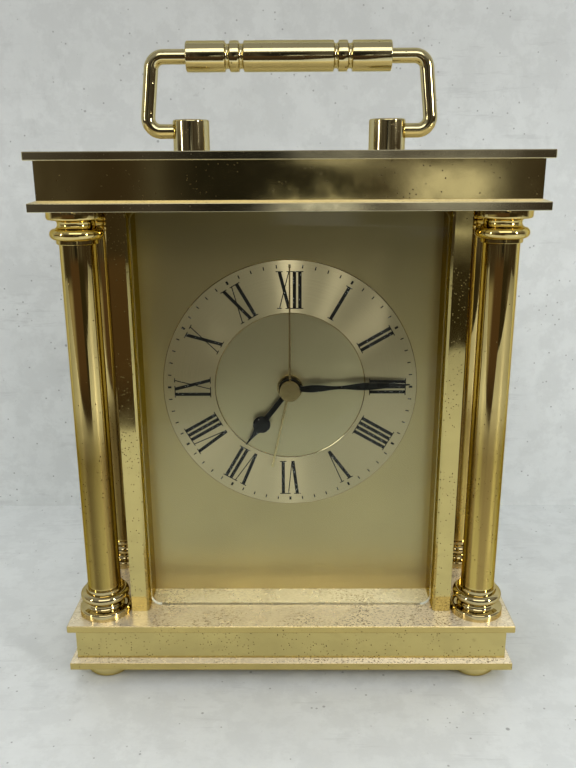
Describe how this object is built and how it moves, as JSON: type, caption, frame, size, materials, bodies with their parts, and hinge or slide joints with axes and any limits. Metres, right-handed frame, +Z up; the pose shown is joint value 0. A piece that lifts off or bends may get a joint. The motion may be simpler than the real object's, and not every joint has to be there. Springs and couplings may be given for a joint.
{
  "type": "carriage-style alarm clock",
  "caption": "Brass carriage-style quartz alarm clock with turned columns, a hinged carrying handle, a glazed brushed dial and working hands.",
  "frame": {"origin": "on the ground under the middle of the case", "axes": "+X to the right of someone who reads the dial, +Y from the dial to the back, +Z up"},
  "size_m": [0.127, 0.049, 0.1755],
  "materials": {
    "lacquered_brass": "polished",
    "dial_brass": "brushed",
    "ring_brass": "spun and lacquered",
    "brass_fitting": "satin",
    "hand_brass": "polished",
    "sounder_brass": "satin",
    "steel": "zinc plated",
    "nickel_plate": "nickel plated",
    "magnet_alloy": "dull",
    "copper_wire": "enamelled",
    "black_enamel": "satin",
    "black_lacquer": "gloss",
    "clear_glass": "clear",
    "rubber": "matte",
    "black_plastic": "matte",
    "grey_plastic": "matte",
    "white_plastic": "matte",
    "battery_jacket": "gloss",
    "board_laminate": "matte"
  },
  "bodies": {
    "case": {"base_bottom_plate": "lacquered_brass", "base_frame": "lacquered_brass", "base_top_plate": "lacquered_brass", "top_lower_plate": "lacquered_brass", "top_frame": "lacquered_brass", "top_cover_plate": "lacquered_brass", "column_front_left": "lacquered_brass", "column_front_right": "lacquered_brass", "column_rear_left": "lacquered_brass", "column_rear_right": "lacquered_brass", "tie_rods": "steel", "threaded_bosses": "steel", "feet": "lacquered_brass", "side_panel_left": "lacquered_brass", "side_panel_right": "lacquered_brass", "glass_pane": "clear_glass", "dial_plate": "dial_brass", "chapter_ring": "ring_brass", "back_panel": "black_enamel", "back_panel_screws": "steel", "handle_post_left": "lacquered_brass", "handle_post_right": "lacquered_brass", "handle_post_screws": "steel", "dial_nut": "brass_fitting", "rubber_washer": "rubber", "movement_housing": "black_plastic", "movement_lid": "black_plastic", "movement_lid_screws": "steel", "battery": "battery_jacket", "battery_contact_plus": "nickel_plate", "battery_contact_minus": "nickel_plate", "coil_bobbin": "black_plastic", "coil_winding": "copper_wire", "coil_core": "magnet_alloy", "stator": "magnet_alloy", "train_bridge": "black_plastic", "bridge_screws": "steel", "circuit_board": "board_laminate", "quartz_crystal": "nickel_plate", "alarm_sounder": "sounder_brass"},
    "handle": {"handle_bail": "lacquered_brass", "handle_grip": "lacquered_brass"},
    "rotor": {"rotor": "magnet_alloy"},
    "intermediate": {"intermediate_wheel": "white_plastic"},
    "seconds": {"second_wheel": "white_plastic", "second_hand": "hand_brass"},
    "third": {"third_wheel": "white_plastic"},
    "centre": {"centre_wheel": "white_plastic"},
    "minutes": {"cannon_pinion": "white_plastic", "minute_hand": "black_lacquer"},
    "minute_work": {"minute_work_wheel": "white_plastic"},
    "hours": {"hour_wheel": "white_plastic", "hour_hand": "black_lacquer"},
    "alarm_set_wheel": {"alarm_wheel": "white_plastic", "alarm_hand": "hand_brass"},
    "time_setting": {"time_set_shaft": "white_plastic", "time_set_knob": "grey_plastic"},
    "alarm_setting": {"alarm_set_shaft": "white_plastic", "alarm_set_knob": "grey_plastic"},
    "switch": {"alarm_switch": "grey_plastic"}
  },
  "joints": [
    {"name": "handle_swing", "type": "hinge", "parent": "case", "child": "handle", "pos_m": [0, 0, 0.1533], "axis": [1, 0, 0], "range_deg": [-90, 90]},
    {"name": "second_spin", "type": "hinge", "parent": "case", "child": "seconds", "pos_m": [0, 0, 0.0839], "axis": [0, 1, 0], "continuous": true},
    {"name": "intermediate_spin", "type": "hinge", "parent": "case", "child": "intermediate", "pos_m": [-0.00445, 0, 0.08836], "axis": [0, 1, 0], "continuous": true},
    {"name": "rotor_spin", "type": "hinge", "parent": "case", "child": "rotor", "pos_m": [-0.00953, 0, 0.0902], "axis": [0, 1, 0], "continuous": true},
    {"name": "third_spin", "type": "hinge", "parent": "case", "child": "third", "pos_m": [0.0081, 0, 0.0839], "axis": [0, 1, 0], "continuous": true},
    {"name": "centre_spin", "type": "hinge", "parent": "case", "child": "centre", "pos_m": [0, 0, 0.0839], "axis": [0, 1, 0], "continuous": true},
    {"name": "minute_spin", "type": "hinge", "parent": "case", "child": "minutes", "pos_m": [0, 0, 0.0839], "axis": [0, 1, 0], "continuous": true},
    {"name": "minute_work_spin", "type": "hinge", "parent": "case", "child": "minute_work", "pos_m": [-0.00639, 0, 0.08157], "axis": [0, 1, 0], "continuous": true},
    {"name": "hour_spin", "type": "hinge", "parent": "case", "child": "hours", "pos_m": [0, 0, 0.0839], "axis": [0, 1, 0], "continuous": true},
    {"name": "time_set_spin", "type": "hinge", "parent": "case", "child": "time_setting", "pos_m": [-0.01309, 0, 0.08039], "axis": [0, 1, 0], "continuous": true},
    {"name": "alarm_spin", "type": "hinge", "parent": "case", "child": "alarm_set_wheel", "pos_m": [0, 0, 0.0839], "axis": [0, 1, 0], "continuous": true},
    {"name": "alarm_set_spin", "type": "hinge", "parent": "case", "child": "alarm_setting", "pos_m": [0, 0, 0.0929], "axis": [0, 1, 0], "continuous": true},
    {"name": "alarm_switch_slide", "type": "slide", "parent": "case", "child": "switch", "axis": [1, 0, 0], "range_m": [0, 0.0035]}
  ],
  "couplings": [
    {"joint": "intermediate_spin", "follows": "second_spin", "ratio": -6},
    {"joint": "rotor_spin", "follows": "second_spin", "ratio": 30},
    {"joint": "third_spin", "follows": "second_spin", "ratio": -0.13333},
    {"joint": "centre_spin", "follows": "second_spin", "ratio": 0.016667},
    {"joint": "minute_work_spin", "follows": "minute_spin", "ratio": -0.33333},
    {"joint": "hour_spin", "follows": "minute_spin", "ratio": 0.083333},
    {"joint": "time_set_spin", "follows": "minute_spin", "ratio": 1},
    {"joint": "alarm_set_spin", "follows": "alarm_spin", "ratio": -1.5}
  ]
}
